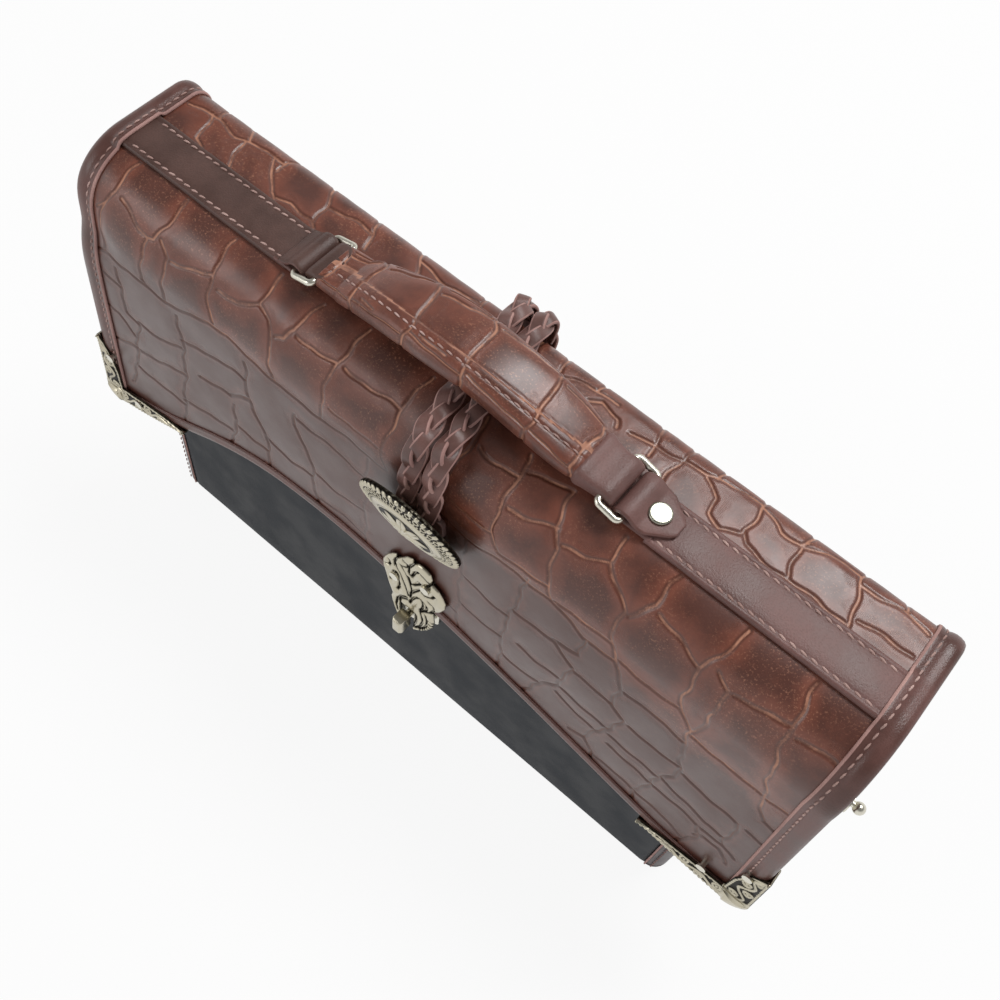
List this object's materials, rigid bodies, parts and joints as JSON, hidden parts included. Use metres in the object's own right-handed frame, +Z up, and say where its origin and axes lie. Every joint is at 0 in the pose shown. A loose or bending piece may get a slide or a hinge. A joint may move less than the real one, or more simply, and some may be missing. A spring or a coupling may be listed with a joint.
{
  "type": "leather briefcase with a hinged flap",
  "caption": "Soft-sided briefcase with a flap lid, turn lock, braided front tie with a round ornament, top grip on rings and metal corners.",
  "frame": {"origin": "on the ground under the middle of the flap, on the underside of the case", "axes": "+X along the case to the right of its front, +Y to the back, +Z up; the front faces -Y"},
  "size_m": [0.4282, 0.1027, 0.2607],
  "materials": {
    "croc_leather": "embossed scale pattern, glossy dark centres with tan creases",
    "plain_leather": "smooth satin brown",
    "navy_leather": "matt dark navy",
    "lining_cloth": "plain woven lining",
    "stiffener": "pressed leather board, not seen",
    "padding": "felt padding, not seen",
    "antique_metal": "warm antique silver plate with dark recesses",
    "pale_metal": "smooth pale plate"
  },
  "bodies": {
    "case": {"front_panel": "navy_leather", "back_panel": "navy_leather", "bottom_panel": "navy_leather", "gusset_left": "navy_leather", "gusset_right": "navy_leather", "front_board": "stiffener", "back_board": "stiffener", "base_board": "stiffener", "inner_lining": "lining_cloth", "divider": "lining_cloth", "back_lip": "croc_leather", "turnlock_base": "antique_metal", "turnlock_rivets": "antique_metal", "side_tab_left": "plain_leather", "side_tab_right": "plain_leather", "stud_left": "pale_metal", "stud_right": "pale_metal", "tab_rivets": "pale_metal"},
    "flap": {"flap_leather": "croc_leather", "binding_left": "plain_leather", "binding_right": "plain_leather", "edge_binding": "plain_leather", "strap_left": "plain_leather", "strap_right": "plain_leather", "braid_left": "plain_leather", "braid_right": "plain_leather", "braid_anchor": "plain_leather", "concho_keeper": "plain_leather", "flap_lining": "lining_cloth", "concho": "antique_metal", "concho_screw": "antique_metal", "clasp_plate": "antique_metal", "clasp_rivets": "antique_metal", "corner_left": "antique_metal", "corner_right": "antique_metal", "corner_rivets": "antique_metal", "strap_rivet": "pale_metal"},
    "handle": {"grip_core": "padding", "grip_cover": "croc_leather", "grip_end_left": "plain_leather", "grip_end_right": "plain_leather"},
    "ring_left": {"ring_left": "pale_metal"},
    "ring_right": {"ring_right": "pale_metal"},
    "turnlock_key": {"turnlock_key": "antique_metal"}
  },
  "joints": [
    {"name": "flap_hinge", "type": "hinge", "parent": "case", "child": "flap", "pos_m": [0, 0.0383, 0.19], "axis": [-1, 0, 0], "range_deg": [0, 110]},
    {"name": "handle_lift", "type": "slide", "parent": "flap", "child": "handle", "axis": [0, 0, 1], "range_m": [0, 0.004]},
    {"name": "ring_right_swing", "type": "hinge", "parent": "flap", "child": "ring_right", "pos_m": [0.0785, 0, 0.2389], "axis": [0, 1, 0], "range_deg": [0, 23.6]},
    {"name": "ring_left_swing", "type": "hinge", "parent": "flap", "child": "ring_left", "pos_m": [-0.0865, 0, 0.2389], "axis": [0, -1, 0], "range_deg": [0, 23.6]},
    {"name": "key_turn", "type": "hinge", "parent": "case", "child": "turnlock_key", "pos_m": [0.007, -0.045, 0.093], "axis": [0, -1, 0], "range_deg": [0, 90]}
  ],
  "couplings": [
    {"joint": "ring_right_swing", "follows": "handle_lift", "rad_per_m": 102.52},
    {"joint": "ring_left_swing", "follows": "handle_lift", "rad_per_m": 102.52}
  ]
}
